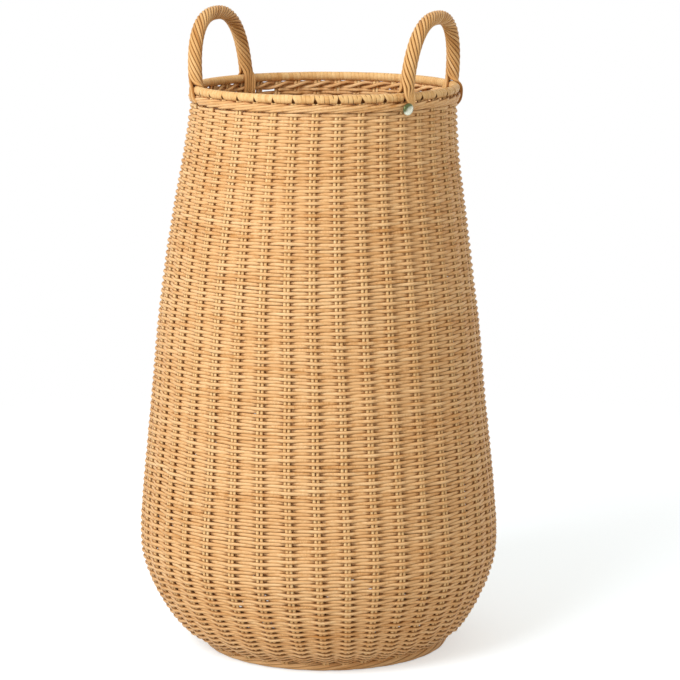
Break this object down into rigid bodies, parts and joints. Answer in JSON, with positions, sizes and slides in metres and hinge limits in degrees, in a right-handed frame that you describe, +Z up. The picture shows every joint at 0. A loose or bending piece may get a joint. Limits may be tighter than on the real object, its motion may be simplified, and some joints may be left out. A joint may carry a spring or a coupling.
{
  "type": "laundry basket",
  "caption": "Tall round woven rattan laundry basket with a wide belly, a narrower bound rim, an open mouth and roped bow handles standing up from the rim.",
  "frame": {"origin": "on the floor, at the middle of the basket's outer size", "axes": "+Z up; +X to the basket's right side, where the handle with the metal button is; +Y to the back, so the front in the picture faces -Y"},
  "size_m": [0.4491, 0.449, 0.8],
  "materials": {
    "weave_rattan": "natural round rattan core, satin, with small differences in colour from rod to rod",
    "stake_rattan": "natural round rattan core, satin",
    "binding_cane": "smooth flat cane, slight sheen",
    "handle_rattan": "twisted round rattan strands, satin",
    "base_rattan": "plain rattan, a little duller",
    "button_metal": "polished metal, blank"
  },
  "bodies": {
    "root": {"base_sticks_pierced": "base_rattan", "base_sticks_through": "base_rattan", "base_weave": "weave_rattan", "foot_border": "weave_rattan", "lower_weave": "weave_rattan", "belly_weave": "weave_rattan", "middle_weave": "weave_rattan", "upper_weave": "weave_rattan", "top_wale": "weave_rattan", "stake_01": "stake_rattan", "stake_02": "stake_rattan", "stake_03": "stake_rattan", "stake_04": "stake_rattan", "stake_05": "stake_rattan", "stake_06": "stake_rattan", "stake_07": "stake_rattan", "stake_08": "stake_rattan", "stake_09": "stake_rattan", "stake_10": "stake_rattan", "stake_11": "stake_rattan", "stake_12": "stake_rattan", "stake_13": "stake_rattan", "stake_14": "stake_rattan", "stake_15": "stake_rattan", "stake_16": "stake_rattan", "stake_17": "stake_rattan", "stake_18": "stake_rattan", "stake_19": "stake_rattan", "stake_20": "stake_rattan", "stake_21": "stake_rattan", "stake_22": "stake_rattan", "stake_23": "stake_rattan", "stake_24": "stake_rattan", "stake_25": "stake_rattan", "stake_26": "stake_rattan", "stake_27": "stake_rattan", "stake_28": "stake_rattan", "stake_29": "stake_rattan", "stake_30": "stake_rattan", "stake_31": "stake_rattan", "stake_32": "stake_rattan", "stake_33": "stake_rattan", "stake_34": "stake_rattan", "stake_35": "stake_rattan", "stake_36": "stake_rattan", "stake_37": "stake_rattan", "stake_38": "stake_rattan", "stake_39": "stake_rattan", "rim_hoop": "stake_rattan", "rim_binding": "binding_cane", "right_handle_core": "handle_rattan", "right_handle_wrap": "handle_rattan", "left_handle_core": "handle_rattan", "left_handle_wrap": "handle_rattan", "badge_button": "button_metal", "badge_washer": "button_metal"}
  },
  "joints": []
}
